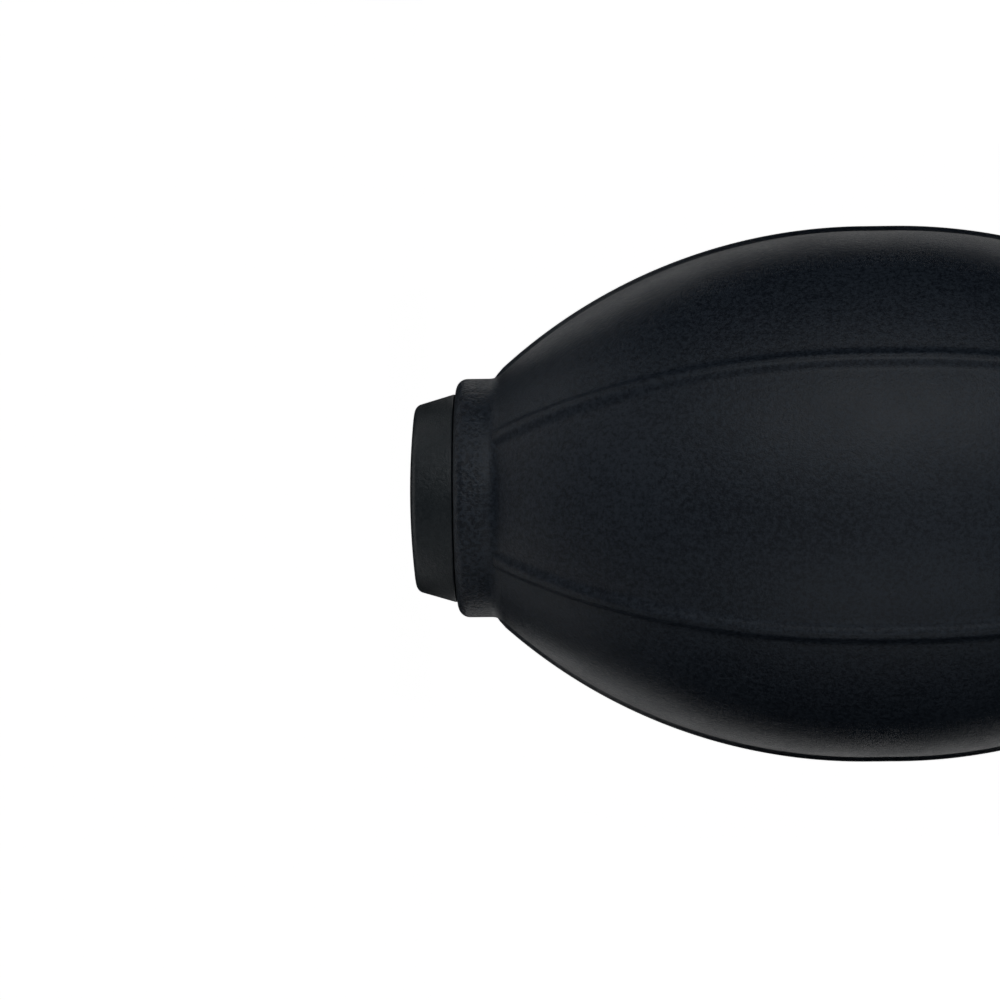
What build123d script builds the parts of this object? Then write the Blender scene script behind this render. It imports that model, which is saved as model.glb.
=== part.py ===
from build123d import *
import math
import os

# A hand-squeezed dust blower that lies along X: filter cap at -X, nozzle at +X, +Z up.
# Origin: on the surface that the bulb rests on, under the middle of the overall length.
# The belly is a straight waist between two arcs that bring it down to the collars.
# Every end piece is drawn with +X pointing out of the bulb and X = 0 on its collar's face.

# Bulb: one hollow silicone moulding
bulb_diameter = 56.0
bulb_length = 88.3
waist_length = 3.2
bulb_wall = 2.5
collar_wall = 3.1
collar_length = 3.45
collar_edge_radius = 1.2
collar_root_radius = 2.0
neck_radius = 9.4
rib_count = 6
rib_height = 0.53
rib_width = 2.1

# Valve sockets: plastic sleeves snapped into the two necks
neck_gap = 0.05
barb_height = 0.35
barb_length = 1.2
barb_depth = 1.6
flange_step = 1.2
flange_gap = 0.3
flange_thickness = 1.0
sleeve_end_length = 1.5
socket_wall = 1.9
seat_thickness = 1.2
port_count = 6
port_radius = 0.9

# Valve discs and the cages that stop them, sized inwards from the socket's bore
disc_thickness = 0.8
disc_lift = 1.0
disc_gap = 0.05
disc_side_gap = 0.6
disc_lap = 1.1
cage_thickness = 1.0
cage_ledge = 0.65
cage_rim = 0.8
cage_spoke_count = 4
cage_spoke_width = 1.2
cage_hub_radius = 1.5
clip_gap = 0.05

# Plugs: the spigot that the filter cap and the nozzle share, and its O-ring
plug_gap = 0.04
plug_end_gap = 0.3
spigot_wall = 2.0
seal_section = 0.86
seal_gap = 0.02
groove_length = 1.1
seam = 0.2
plug_lap = 1.55

# Filter cap and what it holds
cap_height = 4.7
cap_crown = 0.6
cap_taper_degrees = 16.45
cap_edge_radius = 0.9
cap_roof = 1.6
vent_count = 6
vent_radius = 0.8
vent_margin = 1.41
filter_gap = 0.05
filter_pad_thickness = 2.6
filter_mesh_thickness = 0.3
retainer_length = 1.2
retainer_rim = 1.1

# Nozzle: a plastic base, a steel tube pressed into it and a silicone tip over the tube's end
nozzle_skirt = 1.8
nozzle_base_length = 30.0
nozzle_nose_wall = 1.3
nozzle_waist = 2.2
tube_radius = 2.6
tube_bore_radius = 1.6
tube_length = 38.0
tube_seat_length = 14.0
press_gap = 0.02
tip_length = 22.0
tip_overlap = 10.0
tip_wall = 0.95
tip_nose_radius = 2.4
tip_nose_length = 9.0
tip_nose_edge = 0.5
outlet_radius = 1.25

# Worked out from the sizes above
half_length = bulb_length / 2
collar_radius = neck_radius + collar_wall
crest_radius = bulb_diameter / 2
flare_x = half_length - collar_length
flare_rise = crest_radius - collar_radius
half_waist = waist_length / 2
crest_arc = ((flare_x - half_waist) ** 2 + flare_rise**2) / (2 * flare_rise)
arc_depth = crest_arc - crest_radius
panel_arc = crest_arc - rib_height
inner_arc = panel_arc - bulb_wall
axis_height = panel_arc - arc_depth


def arc_end(arc_radius, end_radius):
    """How far from the middle an arc of the belly comes down to this radius."""
    return half_waist + math.sqrt(arc_radius**2 - (end_radius + arc_depth) ** 2)


flange_radius = neck_radius + flange_step
flange_depth = half_length - arc_end(inner_arc, flange_radius + flange_gap)
sleeve_radius = neck_radius - neck_gap
sleeve_length = flange_depth + flange_thickness + sleeve_end_length
socket_radius = sleeve_radius - socket_wall
cage_radius = socket_radius - cage_ledge
chamber_radius = cage_radius - cage_rim
chamber_length = disc_gap + disc_thickness + disc_lift + disc_gap
disc_radius = chamber_radius - disc_side_gap
port_circle_radius = disc_radius - disc_lap - port_radius
socket_depth = sleeve_length - seat_thickness - chamber_length - cage_thickness

plug_radius = neck_radius + plug_lap
spigot_radius = socket_radius - plug_gap
spigot_length = socket_depth - plug_end_gap
spigot_bore = spigot_radius - spigot_wall
seal_outer = spigot_radius - seal_gap
groove_radius = seal_outer - seal_section
groove_x = -spigot_length / 2

cap_end_x = seam + cap_height
cap_cavity_x = cap_end_x - cap_crown - cap_roof
vent_circle_radius = spigot_bore - vent_margin - vent_radius
filter_radius = spigot_bore - filter_gap

tube_start_x = nozzle_base_length - tube_seat_length
tube_end_x = tube_start_x + tube_length
nozzle_nose_radius = tube_radius + nozzle_nose_wall
tip_start_x = tube_end_x - tip_overlap
tip_end_x = tip_start_x + tip_length
rear_reach = half_length + cap_end_x
front_reach = half_length + tip_end_x
middle_x = (front_reach - rear_reach) / 2


def turned(outline):
    """A solid turned about the X axis from an outline in (x, radius)."""
    return revolve(Plane.XZ * make_face(outline), Axis.X)


def disc(x_from, x_to, radius):
    return turned(Polyline((x_from, 0), (x_to, 0), (x_to, radius), (x_from, radius), close=True))


def ring(x_from, x_to, outer, inner):
    return turned(Polyline((x_from, inner), (x_to, inner), (x_to, outer), (x_from, outer), close=True))


def taper(x_from, radius_from, x_to, radius_to):
    return turned(Polyline((x_from, 0), (x_to, 0), (x_to, radius_to), (x_from, radius_from), close=True))


def hole(x_from, x_to, radius, offset):
    """A round cutter along X, offset from the axis."""
    cutter = Cylinder(radius, x_to - x_from, align=(Align.CENTER, Align.CENTER, Align.MIN))
    return Pos(x_from, 0, offset) * Rot(0, 90, 0) * cutter


def around(part, count):
    return [Rot(360 * i / count, 0, 0) * part for i in range(count)]


def rounded(part, x, radius, edge_radius):
    """The part with its round edge at this place rounded over."""
    circles = part.edges().filter_by(GeomType.CIRCLE)
    edge = circles.filter_by(lambda e: abs(e.arc_center.X - x) < 1e-3 and abs(e.radius - radius) < 1e-3)
    return fillet(edge, edge_radius)


def barrel(arc_radius, end_radius):
    """A round body: a waist, an arc of this radius each side of it, and two straight ends."""
    waist_radius = arc_radius - arc_depth
    end_x = arc_end(arc_radius, end_radius)
    rise = TangentArc((-half_waist, waist_radius), (-end_x, end_radius), tangent=(-1, 0))
    fall = TangentArc((half_waist, waist_radius), (end_x, end_radius), tangent=(1, 0))
    waist = Line((-half_waist, waist_radius), (half_waist, waist_radius))
    ends = Polyline(
        (end_x, end_radius),
        (half_length, end_radius),
        (half_length, 0),
        (-half_length, 0),
        (-half_length, end_radius),
        (-end_x, end_radius),
    )
    return turned(rise + waist + fall + ends)


def bulb():
    root_x = arc_end(panel_arc, collar_radius)
    body = barrel(panel_arc, collar_radius)
    for end in (-1, 1):
        body = rounded(body, end * root_x, collar_radius, collar_root_radius)
        body = rounded(body, end * half_length, collar_radius, collar_edge_radius)
    crests = barrel(crest_arc, collar_radius)
    for i in range(rib_count // 2):
        slab = Box(bulb_length - collar_length, rib_width, bulb_diameter)
        body += crests & Rot(180 / rib_count + 360 * i / rib_count, 0, 0) * slab
    groove_end = -barb_depth - barb_length - neck_gap
    barb_groove = disc(groove_end, neck_gap - barb_depth, sleeve_radius + barb_height + neck_gap)
    return body - barrel(inner_arc, neck_radius) - at_front(barb_groove) - at_rear(barb_groove)


def socket(seat_x, chamber_x, cage_x):
    """A valve socket; each place is the outer end of its feature."""
    flange_end = -flange_depth - flange_thickness
    sleeve = disc(-sleeve_length, 0, sleeve_radius)
    sleeve += taper(-barb_depth - barb_length, sleeve_radius + barb_height, -barb_depth, sleeve_radius)
    sleeve += disc(flange_end, -flange_depth, flange_radius)
    sleeve -= disc(-socket_depth, 0, socket_radius)
    sleeve -= disc(chamber_x - chamber_length, chamber_x, chamber_radius)
    sleeve -= disc(cage_x - cage_thickness, cage_x, cage_radius + clip_gap)
    return sleeve - around(hole(seat_x - seat_thickness, seat_x, port_radius, port_circle_radius), port_count)


def valve_disc(outer_x):
    return disc(outer_x - disc_thickness, outer_x, disc_radius)


def valve_cage(outer_x):
    inner_x = outer_x - cage_thickness
    reach = cage_radius - cage_rim / 2
    cage = ring(inner_x, outer_x, cage_radius, chamber_radius) + disc(inner_x, outer_x, cage_hub_radius)
    spoke = Box(cage_thickness, cage_spoke_width, reach, align=(Align.MAX, Align.CENTER, Align.MIN))
    return cage + around(Pos(outer_x, 0, 0) * spoke, cage_spoke_count)


def spigot():
    """The hollow stub by which a plug holds in its socket."""
    half_groove = groove_length / 2
    stub = ring(-spigot_length, seam, spigot_radius, spigot_bore)
    return stub - ring(groove_x - half_groove, groove_x + half_groove, socket_radius, groove_radius)


def seal():
    section = seal_section / 2
    return Pos(groove_x, 0, 0) * Rot(0, 90, 0) * Torus(seal_outer - section, section)


def filter_cap():
    side_x = cap_end_x - cap_crown
    end_radius = plug_radius - (side_x - seam) * math.tan(math.radians(cap_taper_degrees))
    crown = TangentArc((cap_end_x, 0), (side_x, end_radius), tangent=(0, 1))
    sides = Polyline((side_x, end_radius), (seam, plug_radius), (seam, 0), (cap_end_x, 0))
    cap = rounded(turned(crown + sides), side_x, end_radius, cap_edge_radius)
    cap = cap - disc(seam, cap_cavity_x, spigot_bore) + spigot()
    vent = hole(cap_cavity_x, cap_end_x, vent_radius, vent_circle_radius)
    return cap - around(vent, vent_count) - hole(cap_cavity_x, cap_end_x, vent_radius, 0)


def filter_pieces():
    """The foam, mesh and ring that fill the cap's bore, from its roof inwards."""
    mesh_x = cap_cavity_x - filter_pad_thickness
    ring_x = mesh_x - filter_mesh_thickness
    retainer_bore = filter_radius - retainer_rim
    return {
        "filter_pad": disc(mesh_x, cap_cavity_x, filter_radius),
        "filter_mesh": disc(ring_x, mesh_x, filter_radius),
        "filter_retainer": ring(ring_x - retainer_length, ring_x, filter_radius, retainer_bore),
    }


def nozzle_base():
    skirt_x = seam + nozzle_skirt
    skirt_radius = plug_radius - nozzle_skirt * math.tan(math.radians(cap_taper_degrees))
    waist = SagittaArc((skirt_x, skirt_radius), (nozzle_base_length, nozzle_nose_radius), -nozzle_waist)
    ends = Polyline(
        (nozzle_base_length, nozzle_nose_radius),
        (nozzle_base_length, 0),
        (seam, 0),
        (seam, plug_radius),
        (skirt_x, skirt_radius),
    )
    base = turned(waist + ends) + spigot()
    base -= taper(seam, spigot_bore, tube_start_x, tube_bore_radius)
    return base - disc(tube_start_x, nozzle_base_length, tube_radius + press_gap)


def nozzle_tip():
    sleeve_end = tube_end_x + press_gap
    sleeve_outer = tube_radius + press_gap + tip_wall
    nose_x = tip_end_x - tip_nose_length
    tip = disc(tip_start_x, sleeve_end, sleeve_outer)
    tip += taper(sleeve_end, sleeve_outer, nose_x, tip_nose_radius)
    tip += disc(nose_x, tip_end_x, tip_nose_radius)
    tip = rounded(tip, tip_end_x, tip_nose_radius, tip_nose_edge)
    tip -= disc(tip_start_x, sleeve_end, tube_radius + press_gap)
    return tip - disc(sleeve_end, tip_end_x, outlet_radius)


def at_front(part):
    return Pos(half_length, 0, 0) * part


def at_rear(part):
    return Pos(-half_length, 0, 0) * Rot(0, 0, 180) * part


def inlet():
    """The rear valve: seat outermost, so that the disc opens into the bulb."""
    seat_x = -socket_depth
    chamber_x = seat_x - seat_thickness
    cage_x = chamber_x - chamber_length
    return {
        "inlet_socket": socket(seat_x, chamber_x, cage_x),
        "inlet_valve_disc": valve_disc(chamber_x - disc_gap),
        "inlet_valve_cage": valve_cage(cage_x),
    }


def outlet():
    """The front valve: seat innermost, so that the disc opens towards the nozzle."""
    cage_x = -socket_depth
    chamber_x = cage_x - cage_thickness
    seat_x = chamber_x - chamber_length
    return {
        "outlet_socket": socket(seat_x, chamber_x, cage_x),
        "outlet_valve_disc": valve_disc(seat_x + disc_gap + disc_thickness),
        "outlet_valve_cage": valve_cage(cage_x),
    }


rear_pieces = {**inlet(), "filter_cap": filter_cap(), "cap_seal": seal(), **filter_pieces()}
front_pieces = {
    **outlet(),
    "nozzle_base": nozzle_base(),
    "nozzle_seal": seal(),
    "nozzle_tube": ring(tube_start_x, tube_end_x, tube_radius, tube_bore_radius),
    "nozzle_tip": nozzle_tip(),
}
pieces = {"bulb": bulb()}
pieces.update({name: at_rear(piece) for name, piece in rear_pieces.items()})
pieces.update({name: at_front(piece) for name, piece in front_pieces.items()})

os.makedirs("parts", exist_ok=True)
for name, piece in pieces.items():
    export_step(Pos(-middle_x, 0, axis_height) * piece, f"parts/{name}.step")
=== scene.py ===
import bmesh
import bpy
import math
from mathutils import Matrix, Vector
from mathutils import noise as noise_library


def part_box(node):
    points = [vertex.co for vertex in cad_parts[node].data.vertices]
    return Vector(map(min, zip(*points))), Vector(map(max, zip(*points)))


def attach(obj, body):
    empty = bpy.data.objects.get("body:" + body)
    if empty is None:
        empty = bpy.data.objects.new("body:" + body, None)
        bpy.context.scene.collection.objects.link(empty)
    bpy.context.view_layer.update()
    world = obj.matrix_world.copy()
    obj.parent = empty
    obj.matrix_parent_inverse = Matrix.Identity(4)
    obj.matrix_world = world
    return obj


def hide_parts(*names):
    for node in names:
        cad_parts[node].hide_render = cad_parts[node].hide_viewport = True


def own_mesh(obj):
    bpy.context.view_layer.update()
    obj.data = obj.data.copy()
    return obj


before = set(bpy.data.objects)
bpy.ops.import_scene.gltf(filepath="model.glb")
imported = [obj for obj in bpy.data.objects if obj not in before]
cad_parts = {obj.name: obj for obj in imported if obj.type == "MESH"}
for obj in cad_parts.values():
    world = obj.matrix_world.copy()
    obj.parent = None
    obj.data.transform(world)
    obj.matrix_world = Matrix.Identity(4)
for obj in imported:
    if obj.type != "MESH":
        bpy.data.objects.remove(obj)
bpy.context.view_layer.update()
mm = 0.001

# Belly of the squeeze bulb: one hollow moulding in matte black silicone, round in section, with
# six soft ribs along it that fade out towards the ends. The hand flattens it sideways, so it is a
# piece apart from the two collars at its ends, which stay round.

low, high = (Vector(corner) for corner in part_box("bulb"))
middle = (low + high) / 2
half_length = (high.x - low.x) / 2
crest_radius = (high.y - low.y) / 2
waist_length = 3.2 * mm
collar_radius = 12.5 * mm
collar_length = 3.45 * mm
rib_height = 0.53 * mm
rib_width = 2.3 * mm
rib_count = 6
bulb_wall = 2.5 * mm
rib_fade_start = 39.2 * mm
rib_fade_end = 41 * mm
rib_fade_share = 0.95
squeeze_keep = 0.85

flare_x = half_length - collar_length
flare_rise = crest_radius - collar_radius
half_waist = waist_length / 2
crest_arc = ((flare_x - half_waist) ** 2 + flare_rise**2) / (2 * flare_rise)
arc_depth = crest_arc - crest_radius
panel_arc = crest_arc - rib_height


class Term:
    """A socket of a node tree. Arithmetic on it adds Math nodes to the tree."""

    def __init__(self, tree, socket):
        self.tree = tree
        self.socket = socket

    def math(self, operation, *others):
        node = self.tree.nodes.new("ShaderNodeMath")
        node.operation = operation
        for slot, value in zip(node.inputs, (self, *others)):
            connect(self.tree, slot, value)
        return Term(self.tree, node.outputs[0])

    def __add__(self, other):
        return self.math("ADD", other)

    def __radd__(self, other):
        return self.math("ADD", other)

    def __sub__(self, other):
        return self.math("SUBTRACT", other)

    def __rsub__(self, other):
        return (self * -1).math("ADD", other)

    def __mul__(self, other):
        return self.math("MULTIPLY", other)

    def __rmul__(self, other):
        return self.math("MULTIPLY", other)

    def __truediv__(self, other):
        return self.math("DIVIDE", other)

    def __pow__(self, other):
        return self.math("POWER", other)

    def __neg__(self):
        return self * -1


def connect(tree, slot, value):
    """Gives a socket its value, or links it to the socket that the value wraps."""
    if isinstance(value, Term):
        tree.links.new(value.socket, slot)
    elif isinstance(value, (tuple, list)) and len(slot.default_value) == 4 and len(value) == 3:
        slot.default_value = (*value, 1)
    else:
        slot.default_value = value


def add(tree, kind, settings=None, inputs=None, output=0):
    """Adds a node: its settings first, then the values or links of its sockets."""
    node = tree.nodes.new(kind)
    for name, value in (settings or {}).items():
        setattr(node, name, value)
    for name, value in (inputs or {}).items():
        connect(tree, node.inputs[name], value)
    return Term(tree, node.outputs[output])


def parts(tree, where):
    """The x, y and z of a vector, as three terms."""
    split = add(tree, "ShaderNodeSeparateXYZ", inputs={"Vector": where})
    return [Term(tree, socket) for socket in split.socket.node.outputs]


def smooth(value, low_end, high_end):
    """A smooth step from 0 at low_end to 1 at high_end, for a number or a Term."""
    share = (value - low_end) / (high_end - low_end)
    if isinstance(share, Term):
        share = share.math("MINIMUM", 1).math("MAXIMUM", 0)
    else:
        share = min(max(share, 0), 1)
    return share * share * (3 - 2 * share)


# The belly thins towards its lips, where the collars' shoulders line it from inside.
shoulder_end = 14 * mm
lip_x = flare_x + 0.3 * mm
lip_share = 0.965
nesting_gap = 0.08 * mm
rib_flank = (0.1, 0.52)
merge_distance = 0.001 * mm


def shoulder_share(x):
    """How far out the shoulder lies at this distance from the middle, as a share of the belly."""
    return squeeze_keep + (lip_share - squeeze_keep) * smooth(x, shoulder_end, flare_x)


def bulb_tree():
    """The belly as a closed sheet: along its outside with the ribs, and back along its inside."""
    tree = bpy.data.node_groups.new("bulb wall", "GeometryNodeTree")
    face = tree.interface
    face.new_socket("Geometry", in_out="OUTPUT", socket_type="NodeSocketGeometry")
    sizes = {
        "Panel arc": panel_arc,
        "Arc depth": arc_depth,
        "Half waist": half_waist,
        "Lip": lip_x,
        "Wall": bulb_wall,
        "Rib height": rib_height,
        "Rib width": rib_width,
        "Rib count": rib_count,
    }
    for name, value in sizes.items():
        face.new_socket(name, in_out="INPUT", socket_type="NodeSocketFloat").default_value = value
    face.new_socket("Silicone", in_out="INPUT", socket_type="NodeSocketMaterial")
    entry = tree.nodes.new("NodeGroupInput")
    given = {socket.name: Term(tree, socket) for socket in entry.outputs if socket.name}

    along, around, outside_share = 180, 44 * rib_count, 0.78
    grid = {"Size X": 1, "Size Y": 1, "Vertices X": along + 1, "Vertices Y": around + 1}
    sheet = add(tree, "GeometryNodeMeshGrid", inputs=grid)
    grid_x, grid_y, _ = parts(tree, add(tree, "GeometryNodeInputPosition"))
    run, turn = grid_x + 0.5, grid_y + 0.5

    outside = run.math("LESS_THAN", outside_share)
    going = run / outside_share * 2 - 1
    coming = 1 - (run - outside_share) / (1 - outside_share) * 2
    x = (going * outside + coming * (1 - outside)) * given["Lip"]
    bow = (x.math("ABSOLUTE") - given["Half waist"]).math("MAXIMUM", 0)
    panel = (given["Panel arc"] * given["Panel arc"] - bow * bow).math("SQRT") - given["Arc depth"]

    half_turn = given["Rib count"] ** -1 * math.pi
    step = turn * given["Rib count"]
    share = (step.math("FRACT") - 0.5) * 2
    bend = share * share.math("ABSOLUTE")
    angle = (step.math("FLOOR") * 2 + 1 + bend) * half_turn
    off_crest = bend.math("ABSOLUTE") * half_turn * panel
    fade = 1 - rib_fade_share * smooth(x.math("ABSOLUTE"), rib_fade_start, rib_fade_end)
    rib = given["Rib height"] * fade * (1 - smooth(off_crest / given["Rib width"], *rib_flank))
    spare = panel * (1 - shoulder_share(x.math("ABSOLUTE"))) - nesting_gap
    wall = given["Wall"].math("MINIMUM", spare)
    radius = panel + rib * outside - wall * (1 - outside)
    spot = {
        "X": x + middle.x,
        "Y": radius * angle.math("SINE"),
        "Z": radius * angle.math("COSINE") + middle.z,
    }
    moved = add(tree, "GeometryNodeSetPosition", inputs={
        "Geometry": sheet,
        "Position": add(tree, "ShaderNodeCombineXYZ", inputs=spot),
    })
    closing = {"Geometry": moved, "Distance": merge_distance}
    whole = add(tree, "GeometryNodeMergeByDistance", inputs=closing)
    soft = add(tree, "GeometryNodeSetShadeSmooth", inputs={"Geometry": whole})
    real = add(tree, "GeometryNodeRealizeInstances", inputs={"Geometry": soft})
    painted = add(tree, "GeometryNodeSetMaterial", inputs={"Geometry": real, "Material": given["Silicone"]})
    leave = tree.nodes.new("NodeGroupOutput")
    connect(tree, leave.inputs["Geometry"], painted)
    return tree


def finished(name, mesh, material, sharp_degrees=35):
    """A piece from this mesh: doubles merged, faces outwards, edges past the angle kept sharp."""
    shape = bmesh.new()
    shape.from_mesh(mesh)
    bmesh.ops.remove_doubles(shape, verts=shape.verts, dist=merge_distance / 2)
    bmesh.ops.recalc_face_normals(shape, faces=shape.faces)
    for face in shape.faces:
        face.smooth = True
        face.material_index = 0
    for edge in shape.edges:
        edge.smooth = edge.calc_face_angle(0) < math.radians(sharp_degrees)
    clean = bpy.data.meshes.new(name)
    shape.to_mesh(clean)
    shape.free()
    clean.materials.append(material)
    piece = bpy.data.objects.new(name, clean)
    bpy.context.scene.collection.objects.link(piece)
    return piece


def grown(name, tree, values, material):
    """A piece grown by a geometry tree, with these values for its inputs."""
    holder = bpy.data.objects.new(name + "_seed", bpy.data.meshes.new(name + "_seed"))
    bpy.context.scene.collection.objects.link(holder)
    modifier = holder.modifiers.new("grow", "NODES")
    modifier.node_group = tree
    for item in tree.interface.items_tree:
        if item.in_out == "INPUT" and item.name in values:
            modifier[item.identifier] = values[item.name]
    graph = bpy.context.evaluated_depsgraph_get()
    mesh = bpy.data.meshes.new_from_object(holder.evaluated_get(graph), depsgraph=graph)
    holder.modifiers.remove(modifier)
    bpy.data.objects.remove(holder)
    return finished(name, mesh, material)


def surface(name, ior=1.45, gloss=0.5):
    """A new material with its tree and shader; constants go on the shader's own sockets."""
    material = bpy.data.materials.new(name)
    material.use_nodes = True
    shader = material.node_tree.nodes["Principled BSDF"]
    shader.inputs["IOR"].default_value = ior
    shader.inputs["Specular IOR Level"].default_value = gloss
    return material, material.node_tree, shader


def noise(tree, where, scale, detail=2.0, roughness=0.5):
    """Cloudy noise, with this many patches to the metre."""
    inputs = {"Vector": where, "Scale": scale, "Detail": detail, "Roughness": roughness}
    return add(tree, "ShaderNodeTexNoise", inputs=inputs)


def tint(tree, factor, dark, light):
    """A colour between two, by a factor."""
    mixed = add(tree, "ShaderNodeMix", {"data_type": "RGBA"}, output=2)
    for place, value in ((0, factor), (6, dark), (7, light)):
        connect(tree, mixed.socket.node.inputs[place], value)
    return mixed


def relief(tree, shader, height, depth):
    """Gives the shader a bump of this depth from this height."""
    bump = {"Strength": 1.0, "Distance": depth, "Height": height}
    connect(tree, shader.inputs["Normal"], add(tree, "ShaderNodeBump", inputs=bump))


silicone_dark, silicone_light = (0.003, 0.0045, 0.0074), (0.0115, 0.0153, 0.0212)
lint_colour = (0.03, 0.034, 0.038)
lint_spacing = 1.3 * mm
coarse_starts, coarse_ends = flare_x - 0.4 * mm, flare_x + 1.0 * mm


def bulb_silicone():
    """Matte silicone: a fine even grain, coarser on the collars, slow changes of tone, and lint."""
    material, tree, shader = surface("bulb_silicone", 1.42, 0.22)
    where = add(tree, "ShaderNodeTexCoord", output="Object")
    along = parts(tree, where)[0] - middle.x
    on_collar = smooth(along.math("ABSOLUTE"), coarse_starts, coarse_ends)
    grain = noise(tree, where, 1 / (0.45 * mm), 3, 0.9)
    coarse = noise(tree, where, 1 / (0.42 * mm), 2, 0.6)
    cloud = noise(tree, where, 1 / (16 * mm), 3)
    patch = noise(tree, where, 1 / (5 * mm), 4)
    cells = {"Vector": where, "Scale": 1 / lint_spacing}
    lint = 1 - smooth(add(tree, "ShaderNodeTexVoronoi", {"feature": "F1"}, cells), 0.04, 0.1)
    tone = (cloud - 0.5) * 0.9 + (grain - 0.5) * 5 + (coarse - 0.5) * on_collar * 6 + 0.5
    tone = tone.math("MINIMUM", 1).math("MAXIMUM", 0)
    colour = tint(tree, tone, silicone_dark, silicone_light)
    connect(tree, shader.inputs["Base Color"], tint(tree, lint * 0.3, colour, lint_colour))
    connect(tree, shader.inputs["Roughness"], (patch - 0.5) * 0.14 + (grain - 0.5) * 0.4 + 0.46)
    relief(tree, shader, grain + patch * 0.2 + coarse * on_collar * 2.5, 0.07 * mm)
    return material


silicone = bulb_silicone()
bulb_wall_piece = grown("bulb_wall", bulb_tree(), {"Silicone": silicone}, silicone)
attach(bulb_wall_piece, "bulb_body")
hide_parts("bulb")
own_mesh(bulb_wall_piece)

# Collars of the squeeze bulb: the two ends of the same moulding, thick and round with a rolled
# edge, and the shoulder that carries each into the belly. They grip the valve sockets, so they
# stay round when the belly is squeezed, and the rear one goes with the inlet socket.

neck_radius = 9.4 * mm
rolled_edge = 1.2 * mm
collar_root = 2.0 * mm
neck_edge = 0.3 * mm
neck_depth = collar_length + 1.2 * mm
shoulder_wall = 0.9 * mm
shoulder_gain = 2.2 * mm
gain_starts = 33 * mm
gain_ends = 38 * mm
shoulder_steps = 40
shoulder_stop = 0.3 * mm
lip_proud = 0.01 * mm
on_axis = 1e-7


def rounded_outline(corners, loop=True, steps=8):
    """The outline through (x, radius, rounding) corners, each rounded with an arc of steps pieces."""
    outline = []
    count = len(corners)
    for i, (x, radius, rounding) in enumerate(corners):
        here = Vector((x, radius))
        if rounding <= 0 or (not loop and i in (0, count - 1)):
            outline.append(here)
            continue
        before = (Vector(corners[i - 1][:2]) - here).normalized()
        after = (Vector(corners[(i + 1) % count][:2]) - here).normalized()
        half_turn = (math.pi - before.angle(after)) / 2
        reach = rounding * math.tan(half_turn)
        centre = here + (before + after).normalized() * (rounding / math.cos(half_turn))
        first = here + before * reach - centre
        sweep = first.angle_signed(here + after * reach - centre)
        for k in range(steps + 1):
            outline.append(centre + Matrix.Rotation(-sweep * k / steps, 2) @ first)
    return outline


def turned(outline, side=1, facets=192):
    """A mesh turned about the bulb's axis; x runs from the middle to the front (1) or rear (-1)."""
    shape = bmesh.new()
    rows = []
    for x, radius in outline:
        place = middle.x + side * x
        if radius < on_axis:
            rows.append([shape.verts.new((place, middle.y, middle.z))])
            continue
        row = []
        for k in range(facets):
            turn = math.tau * k / facets
            y, z = middle.y + radius * math.sin(turn), middle.z + radius * math.cos(turn)
            row.append(shape.verts.new((place, y, z)))
        rows.append(row)
    for near, far in zip(rows, rows[1:] + rows[:1]):
        if len(near) == 1 and len(far) == 1:
            continue
        for k in range(facets):
            n = (k + 1) % facets
            if len(near) == 1:
                shape.faces.new((near[0], far[n], far[k]))
            elif len(far) == 1:
                shape.faces.new((near[k], near[n], far[0]))
            else:
                shape.faces.new((near[k], near[n], far[n], far[k]))
    bmesh.ops.recalc_face_normals(shape, faces=shape.faces)
    mesh = bpy.data.meshes.new("turned")
    shape.to_mesh(mesh)
    shape.free()
    return mesh


def belly_radius(x):
    """The belly's outside radius between its ribs, at this distance from the middle."""
    return math.sqrt(panel_arc**2 - max(x - half_waist, 0) ** 2) - arc_depth


def collar_outline():
    """Out along the shoulder's outside, round the collar, and back through the neck and inside."""
    bow = math.sqrt(panel_arc**2 - (collar_radius + arc_depth) ** 2)
    root_x = half_waist + bow
    slope = math.atan2(bow, collar_radius + arc_depth)
    tangent_x = root_x - collar_root * math.tan(slope / 2) * math.cos(slope)
    run = tangent_x - shoulder_stop - shoulder_end
    outside = []
    for k in range(shoulder_steps):
        x = shoulder_end + run * k / (shoulder_steps - 1)
        outside.append(Vector((x, belly_radius(x) * shoulder_share(x))))
    rim = rounded_outline([
        (tangent_x, belly_radius(tangent_x) + lip_proud, 0),
        (root_x, collar_radius, collar_root),
        (half_length, collar_radius, rolled_edge),
        (half_length, neck_radius, neck_edge),
        (half_length - neck_depth, neck_radius, 0),
    ], loop=False)
    inside = []
    for point in reversed(outside[:-1]):
        wall = shoulder_wall + shoulder_gain * smooth(point.x, gain_starts, gain_ends)
        inside.append(point - Vector((0, wall)))
    return outside + rim + inside


for side, name, body in ((-1, "rear_collar", "rear_body"), (1, "front_collar", "bulb_body")):
    collar = finished(name, turned(collar_outline(), side), silicone, 60)
    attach(collar, body)

# Valve sockets: two turned plastic sleeves with an inner flange and a barb, snapped into the
# necks. Each has a chamber for a valve disc, a seat with a ring of ports, and a smooth bore that
# a plug slides into. The inlet's seat faces into the bulb and the outlet's faces out of it.

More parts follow.
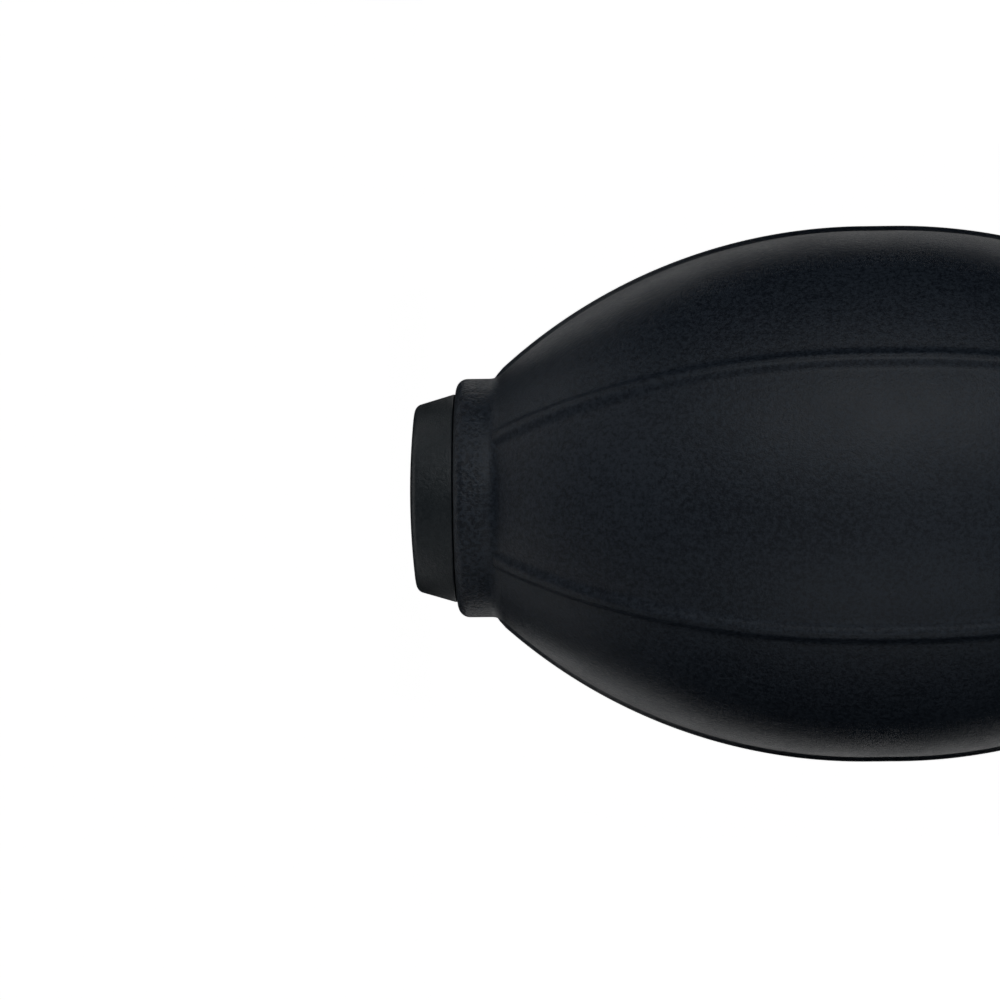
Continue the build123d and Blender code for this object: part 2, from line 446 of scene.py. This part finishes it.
socket_low, socket_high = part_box("outlet_socket")
sleeve_radius = 9.35 * mm
barb_radius = 9.7 * mm
barb_tip, barb_foot = 1.6 * mm, 2.8 * mm
flange_radius = (socket_high.y - socket_low.y) / 2
flange_thickness = 1.0 * mm
sleeve_end_length = 1.5 * mm
socket_radius = 7.45 * mm
cage_seat_radius = 6.85 * mm
chamber_radius = 6.0 * mm
cage_thickness = 1.0 * mm
seat_thickness = 1.2 * mm
chamber_length = 2.9 * mm
socket_length = socket_high.x - socket_low.x
socket_depth = socket_length - seat_thickness - chamber_length - cage_thickness
port_radius = 0.9 * mm
port_count = 6
port_circle = 3.4 * mm
port_flare = 0.15 * mm
clip_radius = cage_seat_radius + 0.05 * mm
hole_overrun = mm


def cut(mesh, cutters):
    """The mesh with these closed shapes taken out of it."""
    joined = bmesh.new()
    for cutter in cutters:
        joined.from_mesh(cutter)
    tool_mesh = bpy.data.meshes.new("cutters")
    joined.to_mesh(tool_mesh)
    joined.free()
    body, tool = bpy.data.objects.new("body", mesh), bpy.data.objects.new("tool", tool_mesh)
    for item in (body, tool):
        bpy.context.scene.collection.objects.link(item)
    modifier = body.modifiers.new("cut", "BOOLEAN")
    modifier.operation = "DIFFERENCE"
    modifier.object = tool
    graph = bpy.context.evaluated_depsgraph_get()
    result = bpy.data.meshes.new_from_object(body.evaluated_get(graph), depsgraph=graph)
    for item in (body, tool):
        bpy.data.objects.remove(item)
    return result


def hole_ring(start, end, radius, circle, count, flare, side):
    """Round cutters on a circle about the axis, each opening out at its outer end."""
    spread = radius + flare
    past_end = end + hole_overrun
    outline = [(start, 0), (start, radius), (end - flare, radius)]
    outline += [(end, spread), (past_end, spread), (past_end, 0)]
    holes = []
    for i in range(count):
        hole = turned([Vector(point) for point in outline], side, 32)
        turn = Matrix.Rotation(math.tau * i / count, 3, "X") @ Vector((0, 0, circle))
        hole.transform(Matrix.Translation(turn))
        holes.append(hole)
    return holes


def outwards(corners):
    """Corners measured outwards from the collar's face, measured from the bulb's middle instead."""
    return [(half_length + x, radius, rounding) for x, radius, rounding in corners]


def moulded(name, dark, light, roughness, grain, depth):
    """Moulded plastic: a fine spark-eroded grain, slow change of tone, faint rubbed patches."""
    material, tree, shader = surface(name, 1.5, 0.25)
    where = add(tree, "ShaderNodeTexCoord", output="Object")
    fine = noise(tree, where, 1 / grain, 3.5, 0.85)
    cloud = noise(tree, where, 1 / (9 * mm), 2)
    rubbed = noise(tree, where, 1 / (2.5 * mm), 4)
    tone = ((cloud - 0.5) * 0.8 + (fine - 0.5) * 5 + 0.5).math("MINIMUM", 1).math("MAXIMUM", 0)
    connect(tree, shader.inputs["Base Color"], tint(tree, tone, dark, light))
    connect(tree, shader.inputs["Roughness"], (rubbed - 0.5) * 0.16 + (fine - 0.5) * 0.1 + roughness)
    relief(tree, shader, fine + rubbed * 0.3, depth)
    return material


plastic_dark, plastic_light = (0.0048, 0.007, 0.0086), (0.0086, 0.0114, 0.0134)
plastic = moulded("black_plastic", plastic_dark, plastic_light, 0.44, 0.6 * mm, 0.09 * mm)


def socket_corners(cage_outside):
    """A socket's outline. Its cage clips in on the chamber's outer or inner side."""
    chamber_x = outlet_chamber if cage_outside else inlet_chamber
    inner_end = -socket_length
    flange_foot = inner_end + sleeve_end_length
    outside = [
        (0, socket_radius, 0.15 * mm),
        (0, sleeve_radius, 0.2 * mm),
        (-barb_tip, sleeve_radius, 0),
        (-barb_foot, barb_radius, 0.1 * mm),
        (-barb_foot, sleeve_radius, 0.1 * mm),
        (flange_foot + flange_thickness, sleeve_radius, 0.15 * mm),
        (flange_foot + flange_thickness, flange_radius, 0.2 * mm),
        (flange_foot, flange_radius, 0.2 * mm),
        (flange_foot, sleeve_radius, 0.15 * mm),
        (inner_end, sleeve_radius, 0.2 * mm),
    ]
    if cage_outside:
        inside = [
            (inner_end, 0, 0),
            (chamber_x - chamber_length, 0, 0),
            (chamber_x - chamber_length, chamber_radius, 0.1 * mm),
            (chamber_x, chamber_radius, 0.05 * mm),
            (chamber_x, clip_radius, 0.05 * mm),
            (-socket_depth, clip_radius, 0.05 * mm),
            (-socket_depth, socket_radius, 0.05 * mm),
        ]
    else:
        inside = [
            (inner_end, clip_radius, 0.05 * mm),
            (inner_end + cage_thickness, clip_radius, 0.05 * mm),
            (inner_end + cage_thickness, chamber_radius, 0.05 * mm),
            (chamber_x, chamber_radius, 0.1 * mm),
            (chamber_x, 0, 0),
            (-socket_depth, 0, 0),
            (-socket_depth, socket_radius, 0.1 * mm),
        ]
    return outwards(outside + inside)


outlet_chamber = -socket_depth - cage_thickness
inlet_chamber = -socket_depth - seat_thickness
outlet_seat = outlet_chamber - chamber_length - seat_thickness
sockets = (
    ("inlet_socket_body", "inlet_socket", "rear_body", -1, False, inlet_chamber),
    ("outlet_socket_body", "outlet_socket", "bulb_body", 1, True, outlet_seat),
)
for name, node, body, side, cage_outside, seat_x in sockets:
    start, end = half_length + seat_x - hole_overrun, half_length + seat_x + seat_thickness
    ports = hole_ring(start, end, port_radius, port_circle, port_count, port_flare, side)
    sleeve = rounded_outline(socket_corners(cage_outside), steps=4)
    piece = finished(name, cut(turned(sleeve, side, 128), ports), plastic)
    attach(piece, body)
    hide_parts(node)

# Valve discs: two loose flaps punched from thin translucent silicone. Air lifts each off its
# seat one way and presses it over the ports the other way.

disc_edge = 0.12 * mm


def soft_rubber(name, dark, light, roughness, milky):
    """Smooth silicone or rubber with a faint bloom; milky is how much light goes through it."""
    material, tree, shader = surface(name, ior=1.42)
    shader.inputs["Subsurface Weight"].default_value = milky
    shader.inputs["Subsurface Scale"].default_value = 0.6 * mm
    where = add(tree, "ShaderNodeTexCoord", output="Object")
    bloom = noise(tree, where, 1 / (1.8 * mm), 4, 0.6)
    fine = noise(tree, where, 1 / (0.12 * mm), 2)
    connect(tree, shader.inputs["Base Color"], tint(tree, bloom, dark, light))
    connect(tree, shader.inputs["Roughness"], (bloom - 0.5) * 0.2 + roughness)
    relief(tree, shader, fine + bloom * 0.5, 0.004 * mm)
    return material


clear_silicone = soft_rubber("valve_silicone", (0.62, 0.64, 0.61), (0.8, 0.81, 0.78), 0.35, 0.4)
for node, body in (("inlet_valve_disc", "inlet_disc_body"), ("outlet_valve_disc", "outlet_disc_body")):
    disc_low, disc_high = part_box(node)
    disc_start, disc_end = disc_low.x - middle.x, disc_high.x - middle.x
    disc_radius = (disc_high.y - disc_low.y) / 2
    rim = [
        (disc_start, 0, 0),
        (disc_start, disc_radius, disc_edge),
        (disc_end, disc_radius, disc_edge),
        (disc_end, 0, 0),
    ]
    flap = finished(node + "_flap", turned(rounded_outline(rim, steps=5), 1, 96), clear_silicone)
    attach(flap, body)
    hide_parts(node)

# Valve cages: two small spoked rings in the same plastic as the sockets. Each clips into its
# socket's recess and stops the disc after a millimetre of lift.


def refined(node, name, material):
    """A piece with a CAD node's own shape, its triangles merged and its faces shaded smooth."""
    return finished(name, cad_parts[node].data.copy(), material, 30)


for node, body in (("inlet_valve_cage", "rear_body"), ("outlet_valve_cage", "bulb_body")):
    cage = refined(node, node + "_ring", plastic)
    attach(cage, body)
    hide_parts(node)

# Filter cap: a low tapered cap in satin black plastic that closes the rear neck. A hollow spigot
# behind it slides into the inlet socket, with a groove for an O-ring, and seven vents through
# its slightly domed end let the air in.

cap_low, cap_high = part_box("filter_cap")
seam = 0.1 * mm
plug_radius = (cap_high.y - cap_low.y) / 2
spigot_radius = 7.41 * mm
spigot_bore = 5.41 * mm
spigot_length = socket_depth - 0.3 * mm
groove_length = 1.1 * mm
groove_radius = 6.53 * mm
groove_x = -spigot_length / 2
cap_end = middle.x - half_length - cap_low.x
cap_crown = 0.6 * mm
cap_roof = 1.6 * mm
cap_taper = math.radians(16.45)
vent_radius = 0.8 * mm
vent_circle = 3.2 * mm
vent_flare = 0.18 * mm
vent_count = 6
vent_below_crown = 0.03 * mm
crown_steps = 11
crown_edge = 1.2 * mm


def spigot_corners():
    """The spigot's outline from the seam inwards along its outside and back out along its bore."""
    half_groove = groove_length / 2
    return [
        (seam, spigot_radius, 0.1 * mm),
        (groove_x + half_groove, spigot_radius, 0.05 * mm),
        (groove_x + half_groove, groove_radius, 0.08 * mm),
        (groove_x - half_groove, groove_radius, 0.08 * mm),
        (groove_x - half_groove, spigot_radius, 0.05 * mm),
        (-spigot_length, spigot_radius, 0.3 * mm),
        (-spigot_length, spigot_bore, 0.15 * mm),
    ]


def cap_corners():
    """The cap's outline: the domed end, the tapered side, the spigot and the hollow inside."""
    side_x = cap_end - cap_crown
    end_radius = plug_radius - (side_x - seam) * math.tan(cap_taper)
    crown_arc = (end_radius**2 + cap_crown**2) / (2 * cap_crown)
    crown = []
    for k in range(crown_steps + 1):
        radius = (end_radius - crown_edge) * k / crown_steps
        crown.append((cap_end - crown_arc + math.sqrt(crown_arc**2 - radius**2), radius, 0))
    roof_x = side_x - cap_roof
    return crown + [
        (side_x, end_radius, 0.9 * mm),
        (seam, plug_radius, 0.18 * mm),
        *spigot_corners(),
        (roof_x, spigot_bore, 0.2 * mm),
        (roof_x, 0, 0),
    ]


crown_x = half_length + cap_end
vent_start, vent_end = crown_x - 3 * mm, crown_x - vent_below_crown
vents = hole_ring(vent_start, vent_end, vent_radius, vent_circle, vent_count, vent_flare, -1)
vents += hole_ring(vent_start, crown_x, vent_radius, 0, 1, vent_flare, -1)
cap_shell = turned(rounded_outline(outwards(cap_corners())), -1)
cap_piece = finished("filter_cap_shell", cut(cap_shell, vents), plastic)
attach(cap_piece, "cap_body")
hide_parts("filter_cap")

# O-rings: one in the groove of the filter cap's spigot and one in the nozzle's, in black nitrile
# rubber. Each is moulded in two halves, so a fine flash line runs round it.

flash_proud = 0.012 * mm
section_steps = 36
flash_steps = (9, 27)
nitrile = soft_rubber("seal_rubber", (0.006, 0.006, 0.006), (0.011, 0.011, 0.011), 0.36, 0)
for node, body, side in (("cap_seal", "cap_body", -1), ("nozzle_seal", "nozzle_body", 1)):
    ring_low, ring_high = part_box(node)
    section = (ring_high.x - ring_low.x) / 2
    ring_radius = (ring_high.y - ring_low.y) / 2 - section
    ring_x = side * ((ring_low.x + ring_high.x) / 2 - middle.x)
    outline = []
    for k in range(section_steps):
        turn = math.tau * k / section_steps
        reach = section + (flash_proud if k in flash_steps else 0)
        outline.append(Vector((ring_x + reach * math.cos(turn), ring_radius + reach * math.sin(turn))))
    seal = finished(node + "_ring", turned(outline, side, 160), nitrile, 80)
    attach(seal, body)
    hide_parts(node)

# Air filter: a disc of open-cell foam behind the vents, backed by a disc punched from woven
# steel gauze, and a plastic snap ring that holds both in the cap's bore.

pad_low, pad_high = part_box("filter_pad")
foam_cell = 0.45 * mm
foam_pit = 0.16 * mm


def foam():
    """Open-cell foam: pits painted darker as shade between bright struts, greyer where dust has been drawn
    in.
    """
    material, tree, shader = surface("filter_foam", ior=1.4)
    shader.inputs["Subsurface Weight"].default_value = 0.15
    shader.inputs["Subsurface Scale"].default_value = 0.4 * mm
    where = add(tree, "ShaderNodeTexCoord", output="Object")
    cells = {"Vector": where, "Scale": 1 / foam_cell}
    strut = add(tree, "ShaderNodeTexVoronoi", {"feature": "DISTANCE_TO_EDGE"}, cells)
    pit_shade = smooth(strut, 0.05, 0.25)
    dust = noise(tree, where, 1 / (2 * mm), 3)
    # Painted shade: the base colour falls from light grey on the struts to dark grey in the pits.
    colour = tint(tree, pit_shade, (0.78, 0.79, 0.78), (0.3, 0.3, 0.29))
    connect(tree, shader.inputs["Base Color"], tint(tree, dust * 0.3, colour, (0.35, 0.34, 0.32)))
    connect(tree, shader.inputs["Roughness"], pit_shade * 0.1 + 0.85)
    relief(tree, shader, 1 - pit_shade, foam_pit)
    return material


pad_radius = (pad_high.y - pad_low.y) / 2
pad_rows, edge_rows = 26, 12
pad_start, pad_end = pad_low.x - middle.x, pad_high.x - middle.x
edge_step = (pad_end - pad_start) / edge_rows
pad_corners = [(pad_start, pad_radius * k / pad_rows) for k in range(pad_rows)]
pad_corners += [(pad_start + edge_step * k, pad_radius) for k in range(edge_rows + 1)]
pad_corners += [(pad_end, pad_radius * k / pad_rows) for k in reversed(range(pad_rows))]
pad = finished("filter_pad_foam", turned([Vector(point) for point in pad_corners], 1, 128), foam(), 80)
pad_centre = (pad_low + pad_high) / 2
for point in pad.data.vertices:
    distances, _ = noise_library.voronoi(point.co / foam_cell)
    depth = foam_pit * max(0.0, min(distances[1] - distances[0], 0.6))
    point.co += (pad_centre - point.co).normalized() * depth
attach(pad, "cap_body")
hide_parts("filter_pad")


gauze_trim = 0.985
wire_points = 16


def gauze_tree():
    """Two layers of waved wires, each over and under the other by turns, cut to a disc."""
    tree = bpy.data.node_groups.new("gauze", "GeometryNodeTree")
    face = tree.interface
    face.new_socket("Geometry", in_out="OUTPUT", socket_type="NodeSocketGeometry")
    for name in ("Radius", "Pitch", "Wire", "Place"):
        face.new_socket(name, in_out="INPUT", socket_type="NodeSocketFloat")
    face.new_socket("Steel", in_out="INPUT", socket_type="NodeSocketMaterial")
    entry = tree.nodes.new("NodeGroupInput")
    given = {socket.name: Term(tree, socket) for socket in entry.outputs if socket.name}
    joined = tree.nodes.new("GeometryNodeJoinGeometry")
    reach = (given["Radius"] / given["Pitch"]).math("FLOOR")
    circle = {"Resolution": 6, "Radius": given["Wire"] / 2}
    profile = add(tree, "GeometryNodeCurvePrimitiveCircle", inputs=circle)
    for layer in (1, -1):
        start = add(tree, "ShaderNodeCombineXYZ", inputs={"Y": -reach * given["Pitch"]})
        step = add(tree, "ShaderNodeCombineXYZ", inputs={"Y": given["Pitch"]})
        row = {"Count": reach * 2 + 1, "Start Location": start, "Offset": step}
        spots = add(tree, "GeometryNodeMeshLine", inputs=row)
        ends = {"Start": (0, 0, -1), "End": (0, 0, 1)}
        line = add(tree, "GeometryNodeCurvePrimitiveLine", inputs=ends)
        points = {"Curve": line, "Count": reach * wire_points + 1}
        fine = add(tree, "GeometryNodeResampleCurve", inputs=points)
        _, off_axis, along = parts(tree, add(tree, "GeometryNodeInputPosition"))
        room = given["Radius"] * given["Radius"] * gauze_trim - off_axis * off_axis
        half_chord = room.math("MAXIMUM", 0).math("SQRT")
        chord = add(tree, "ShaderNodeCombineXYZ", inputs={"X": 1, "Y": 1, "Z": half_chord})
        rows = {"Points": spots, "Instance": fine, "Scale": chord}
        wires = add(tree, "GeometryNodeRealizeInstances", inputs={
            "Geometry": add(tree, "GeometryNodeInstanceOnPoints", inputs=rows),
        })
        phase = (along / given["Pitch"] + off_axis / given["Pitch"]) * math.pi
        wave = phase.math("COSINE") * given["Wire"] * 0.5 * layer
        across, up = (off_axis, along) if layer == 1 else (along, off_axis)
        spot = {"X": wave + given["Place"], "Y": across + middle.y, "Z": up + middle.z}
        waved = add(tree, "GeometryNodeSetPosition", inputs={
            "Geometry": wires,
            "Position": add(tree, "ShaderNodeCombineXYZ", inputs=spot),
        })
        swept = {"Curve": waved, "Profile Curve": profile, "Fill Caps": True}
        tree.links.new(add(tree, "GeometryNodeCurveToMesh", inputs=swept).socket, joined.inputs[0])
    real = add(tree, "GeometryNodeRealizeInstances", inputs={"Geometry": Term(tree, joined.outputs[0])})
    painted = add(tree, "GeometryNodeSetMaterial", inputs={"Geometry": real, "Material": given["Steel"]})
    leave = tree.nodes.new("NodeGroupOutput")
    connect(tree, leave.inputs["Geometry"], painted)
    return tree


def drawn_steel():
    """Drawn wire: bright steel with fine scratches and a slightly dull film."""
    material, tree, shader = surface("steel_mesh", ior=2.5)
    shader.inputs["Metallic"].default_value = 1
    where = add(tree, "ShaderNodeTexCoord", output="Object")
    film = noise(tree, where, 1 / (1.5 * mm), 4)
    scratch = noise(tree, where, 1 / (0.05 * mm), 2)
    connect(tree, shader.inputs["Base Color"], tint(tree, film, (0.42, 0.42, 0.4), (0.66, 0.66, 0.64)))
    connect(tree, shader.inputs["Roughness"], film * 0.15 + scratch * 0.1 + 0.2)
    return material


gauze_low, gauze_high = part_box("filter_mesh")
wire = (gauze_high.x - gauze_low.x) / 2
steel = drawn_steel()
gauze_sizes = {
    "Radius": (gauze_high.y - gauze_low.y) / 2,
    "Pitch": 0.55 * mm,
    "Wire": wire * 0.98,
    "Place": (gauze_low.x + gauze_high.x) / 2,
    "Steel": steel,
}
gauze = grown("filter_mesh_gauze", gauze_tree(), gauze_sizes, steel)
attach(gauze, "cap_body")
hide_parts("filter_mesh")

snap_low, snap_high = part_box("filter_retainer")
snap_outer = (snap_high.y - snap_low.y) / 2
snap_bore = snap_outer - 1.1 * mm
snap_start, snap_end = snap_low.x - middle.x, snap_high.x - middle.x
snap_corners = [
    (snap_start, snap_bore, 0.15 * mm),
    (snap_start, snap_outer, 0.2 * mm),
    (snap_end, snap_outer, 0.2 * mm),
    (snap_end, snap_bore, 0.15 * mm),
]
snap_outline = rounded_outline(snap_corners, steps=4)
snap_ring = finished("filter_retainer_ring", turned(snap_outline, 1, 128), plastic)
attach(snap_ring, "cap_body")
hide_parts("filter_retainer")

# Nozzle base: the turned plastic plug that closes the front neck. Its short skirt matches the
# cap's taper and then draws in to a slim nose, in which the tube is pressed.

_, base_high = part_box("nozzle_base")
base_end = base_high.x - middle.x - half_length
skirt_length = 1.8 * mm
nose_radius = 3.9 * mm
waist_dip = 2.2 * mm
tube_seat_start = 16 * mm
tube_bore_radius = 1.6 * mm
tube_radius = 2.6 * mm
tube_seat_radius = tube_radius + 0.02 * mm
nose_steps = 20


def base_corners():
    """The base's outline: the skirt, a hollow sweep down to the nose, and back through its bore."""
    skirt_x = seam + skirt_length
    skirt_radius = plug_radius - skirt_length * math.tan(cap_taper)
    run, fall = base_end - skirt_x, skirt_radius - nose_radius
    chord = math.hypot(run, fall)
    arc = ((chord / 2) ** 2 + waist_dip**2) / (2 * waist_dip)
    middle_spot = Vector((skirt_x + run / 2, (skirt_radius + nose_radius) / 2))
    centre = middle_spot + Vector((fall, run)).normalized() * (arc - waist_dip)
    half_turn = math.asin(chord / 2 / arc)
    down = -Vector((fall, run)).normalized()
    hollow = []
    for k in range(1, 2 * nose_steps):
        spoke = Matrix.Rotation(half_turn * (k / nose_steps - 1), 2) @ down
        hollow.append((*(centre + spoke * arc), 0))
    return [
        (seam, plug_radius, 0.18 * mm),
        (skirt_x, skirt_radius, 0.35 * mm),
        *hollow,
        (base_end, nose_radius, 0.5 * mm),
        (base_end, tube_seat_radius, 0.15 * mm),
        (tube_seat_start, tube_seat_radius, 0),
        (tube_seat_start, tube_bore_radius, 0),
        (seam, spigot_bore, 0),
        *reversed(spigot_corners()),
    ]


base_outline = rounded_outline(outwards(base_corners()))
base_piece = finished("nozzle_base_body", turned(base_outline, 1), plastic)
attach(base_piece, "nozzle_body")
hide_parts("nozzle_base")

# Nozzle tube: a straight length of drawn stainless tube, its ends broken with a file, pressed
# into the base's nose. Fine die lines run along it.

tube_low, tube_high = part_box("nozzle_tube")
tube_start, tube_end = tube_low.x - middle.x, tube_high.x - middle.x


def drawn_tube():
    """Drawn stainless: long die lines, a satin shine and faint handling marks."""
    material, tree, shader = surface("tube_steel", 2.5)
    shader.inputs["Metallic"].default_value = 1
    where = add(tree, "ShaderNodeTexCoord", output="Object")
    drawn_out = add(tree, "ShaderNodeMapping", inputs={"Vector": where, "Scale": (0.02, 1, 1)})
    lines = noise(tree, drawn_out, 1 / (0.16 * mm), 3, 0.6)
    marks = noise(tree, where, 1 / (4 * mm), 4)
    tone = (lines - 0.5) * 0.8 + (marks - 0.5) * 0.5 + 0.5
    connect(tree, shader.inputs["Base Color"], tint(tree, tone, (0.5, 0.5, 0.49), (0.66, 0.66, 0.65)))
    connect(tree, shader.inputs["Roughness"], (lines - 0.5) * 0.2 + marks * 0.15 + 0.24)
    relief(tree, shader, lines, 0.004 * mm)
    return material


tube_corners = [
    (tube_start, tube_bore_radius, 0.1 * mm),
    (tube_start, tube_radius, 0.15 * mm),
    (tube_end, tube_radius, 0.2 * mm),
    (tube_end, tube_bore_radius, 0.1 * mm),
]
tube_outline = rounded_outline(tube_corners, steps=4)
tube_piece = finished("nozzle_tube_pipe", turned(tube_outline, 1, 96), drawn_tube())
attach(tube_piece, "nozzle_body")
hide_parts("nozzle_tube")

# Nozzle tip: a soft silicone sleeve pushed over the tube's end, which narrows to the outlet so
# that it can't scratch what it touches. Its sleeve end has a small rolled bead.

tip_low, tip_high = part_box("nozzle_tip")
tip_start, tip_end = tip_low.x - middle.x, tip_high.x - middle.x
sleeve_outer = 3.57 * mm
sleeve_inner = 2.62 * mm
bead = 0.4 * mm
tip_shoulder = tube_end + 0.02 * mm
tip_nose_radius = 2.4 * mm
tip_nose_start = tip_end - 9 * mm
outlet_radius = 1.25 * mm
tip_silicone = soft_rubber("tip_silicone", (0.0065, 0.0085, 0.0108), (0.0115, 0.0145, 0.018), 0.5, 0)
tip_corners = [
    (tip_start, sleeve_inner, 0.15 * mm),
    (tip_start, sleeve_outer, bead),
    (tip_shoulder, sleeve_outer, 1.5 * mm),
    (tip_nose_start, tip_nose_radius, 2.5 * mm),
    (tip_end, tip_nose_radius, 0.5 * mm),
    (tip_end, outlet_radius, 0.15 * mm),
    (tip_shoulder, outlet_radius, 0.1 * mm),
    (tip_shoulder, sleeve_inner, 0.1 * mm),
]
tip_piece = finished("nozzle_tip_sleeve", turned(rounded_outline(tip_corners), 1, 128), tip_silicone)
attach(tip_piece, "tip_body")
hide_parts("nozzle_tip")

# Stage: a pale floor that glows softly, black felt at the bulb's sides, tail and underside that holds the
# glow to its edges (the felt under the bulb is a painted shadow of the bulb on the floor), two soft boxes,
# and a backdrop that only the camera sees bright.
# The camera looks almost straight down on the bulb's rear half.

bpy.context.scene.view_settings.view_transform = "Standard"
view_centre_x = middle.x - 39.72 * mm
view_centre_y = middle.y - 0.23 * mm
view_width = 104.8 * mm
camera_distance = 0.5
film_width = 36
camera_ahead = 18 * mm
camera_aside = 5 * mm
camera_roll = math.radians(0.6)


cool_white = (0.93, 0.97, 1)


def soft_box(name, size, place, power):
    """A rectangular soft box at a place, turned to the bulb's middle."""
    light = bpy.data.lights.new(name, "AREA")
    light.shape = "RECTANGLE"
    light.size, light.size_y = size
    light.energy = power
    light.color = cool_white
    card = bpy.data.objects.new(name, light)
    card.location = place
    card.rotation_euler = (middle - Vector(place)).to_track_quat("-Z", "Y").to_euler()
    card.visible_camera = False
    bpy.context.scene.collection.objects.link(card)


def flat(name, spots):
    """A stage piece of one face with these corners."""
    shape = bmesh.new()
    shape.faces.new([shape.verts.new(spot) for spot in spots])
    mesh = bpy.data.meshes.new(name)
    shape.to_mesh(mesh)
    shape.free()
    piece = bpy.data.objects.new(name, mesh)
    bpy.context.scene.collection.objects.link(piece)
    return piece


floor_half = 4
floor_glow = 1.0
floor_corners = [(-1, -1), (1, -1), (1, 1), (-1, 1)]
floor = flat("floor", [(x * floor_half, y * floor_half, 0) for x, y in floor_corners])
paper, tree, shader = surface("floor_paper")
shader.inputs["Base Color"].default_value = (0.9, 0.9, 0.9, 1)
shader.inputs["Roughness"].default_value = 0.9
shader.inputs["Emission Color"].default_value = (1, 1, 1, 1)
shader.inputs["Emission Strength"].default_value = floor_glow
floor.data.materials.append(paper)

felt, tree, shader = surface("flag_felt", gloss=0)
shader.inputs["Roughness"].default_value = 1
felt_tone = noise(tree, add(tree, "ShaderNodeTexCoord", output="Object"), 1 / (3 * mm))
felt_colour = tint(tree, felt_tone, (0.003, 0.003, 0.003), (0.006, 0.006, 0.006))
connect(tree, shader.inputs["Base Color"], felt_colour)
flag_away = 50 * mm
flag_height = 52 * mm
flag_start = -60 * mm
flag_end = 0.4
tail_card_edge = -48.5 * mm
tail_card_length = 80 * mm
tail_card_half_width = 90 * mm
card_rise = 0.1 * mm


def black_card(name, spots):
    """A card of black felt that takes light away without showing."""
    card = flat(name, [Vector(spot) + Vector((middle.x, middle.y, 0)) for spot in spots])
    card.data.materials.append(felt)
    card.visible_camera = False


for side, name in ((-1, "near_flag"), (1, "far_flag")):
    y = side * flag_away
    foot = [(flag_start, y, card_rise), (flag_end, y, card_rise)]
    black_card(name, foot + [(x, y, flag_height) for x, _, _ in reversed(foot)])
tail_start = tail_card_edge - tail_card_length
black_card("tail_card", [
    (tail_start, -tail_card_half_width, card_rise),
    (tail_card_edge, -tail_card_half_width, card_rise),
    (tail_card_edge, tail_card_half_width, card_rise),
    (tail_start, tail_card_half_width, card_rise),
])
# Painted shadow: black felt cut to the bulb's outline with about 10 mm to spare and laid under it, where
# the bulb's shadow would fall on the glowing floor, which takes no shadow.
shadow_card_edge = [
    (0.2, 38.2 * mm),
    (-20 * mm, 38.2 * mm),
    (-33 * mm, 35 * mm),
    (-41 * mm, 30.5 * mm),
    (-43 * mm, 25 * mm),
    (-53 * mm, 22 * mm),
]
shadow_card_corners = [(x, y, card_rise) for x, y in shadow_card_edge]
shadow_card_corners += [(x, -y, card_rise) for x, y in reversed(shadow_card_edge)]
black_card("shadow_card", shadow_card_corners)

world = bpy.data.worlds.new("studio")
bpy.context.scene.world = world
world.use_nodes = True
backdrop = world.node_tree.nodes["Background"]
backdrop.inputs["Color"].default_value = (1, 1, 1, 1)
seen = add(world.node_tree, "ShaderNodeLightPath", output=0)
room_light = 0.06
backdrop_strength = seen * (1 - room_light) + room_light
connect(world.node_tree, backdrop.inputs["Strength"], backdrop_strength)
softbox_x = middle.x + 0.05
soft_box("far_softbox", size=(1.0, 0.8), place=(softbox_x, 0.62, 0.85), power=8)
soft_box("near_softbox", size=(1.0, 0.7), place=(softbox_x, -0.75, 0.8), power=3.5)

lens = bpy.data.cameras.new("camera")
lens.sensor_width = film_width
lens.lens = film_width * camera_distance / view_width
lens.clip_start, lens.clip_end = 0.05, 50
camera = bpy.data.objects.new("camera", lens)
aim = Vector((view_centre_x, view_centre_y, middle.z))
eye = aim + Vector((camera_ahead, camera_aside, camera_distance))
gaze = (aim - eye).normalized()
across = Vector((1, 0, 0)) - gaze * gaze.x
across.normalize()
upright = across.cross(gaze)
turn = Matrix.Rotation(camera_roll, 4, gaze)
facing = Matrix((across, upright, -gaze)).transposed().to_4x4()
camera.matrix_world = Matrix.Translation(eye) @ turn @ facing
bpy.context.scene.collection.objects.link(camera)
bpy.context.scene.camera = camera
